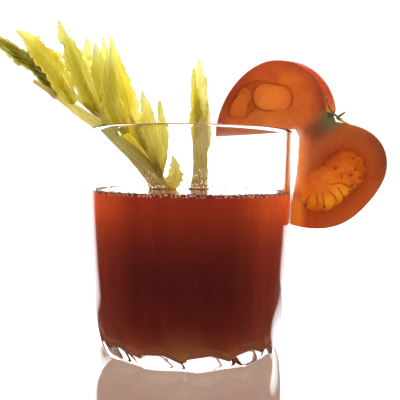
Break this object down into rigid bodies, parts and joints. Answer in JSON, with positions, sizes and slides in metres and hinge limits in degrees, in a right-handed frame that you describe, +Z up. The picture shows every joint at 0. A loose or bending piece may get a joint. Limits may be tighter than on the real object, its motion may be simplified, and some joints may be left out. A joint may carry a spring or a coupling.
{
  "type": "tomato juice",
  "caption": "Tomato juice in a swirl-cut glass tumbler, garnished with leafy celery sprigs and a slice of tomato on the rim.",
  "frame": {"origin": "centre of the flat underside of the tumbler", "axes": "+Z up out of the tumbler, +X towards the tomato slice, -Y towards the viewer's side"},
  "size_m": [0.1712, 0.0812, 0.1309],
  "materials": {
    "glass": "clear polished glass",
    "tomato_juice": "wet, deep red brown",
    "celery": "thin translucent yellow green leaf",
    "tomato_flesh": "wet translucent flesh",
    "tomato_gel": "clear amber gel",
    "tomato_calyx": "dry dark green"
  },
  "bodies": {
    "root": {"glass": "glass", "juice": "tomato_juice", "celery_large": "celery", "celery_small": "celery", "tomato_flesh": "tomato_flesh", "tomato_gel_lower": "tomato_gel", "tomato_gel_upper_left": "tomato_gel", "tomato_gel_upper_right": "tomato_gel", "tomato_calyx": "tomato_calyx"}
  },
  "joints": []
}
